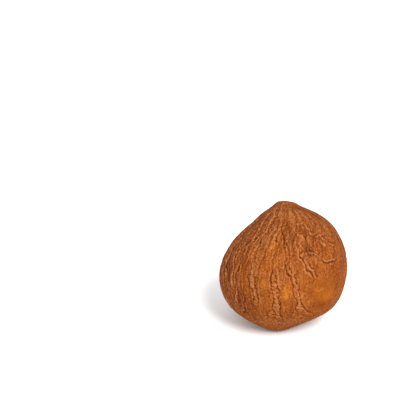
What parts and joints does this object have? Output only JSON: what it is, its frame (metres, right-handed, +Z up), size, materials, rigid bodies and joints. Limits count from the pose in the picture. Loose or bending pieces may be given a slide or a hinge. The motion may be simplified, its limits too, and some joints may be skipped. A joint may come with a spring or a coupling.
{
  "type": "hazelnut kernel",
  "caption": "Whole shelled hazelnut kernel with its thin brown skin on, leaning back on the small flat spot of its blunt base with its pointed tip up.",
  "frame": {"origin": "on the resting plane, under the middle of the kernel's bounding box", "axes": "+Z up, -Y towards the kernel's front, which shows its blunt base at the bottom and its tip at the top; the kernel's own axis leans 25 degrees from +Z towards +Y"},
  "size_m": [0.0146, 0.0138, 0.0139],
  "materials": {
    "kernel_skin": "dry papery brown skin, finely wrinkled, semi-matt with a faint sheen"
  },
  "bodies": {
    "root": {"hazelnut_kernel": "kernel_skin"}
  },
  "joints": []
}
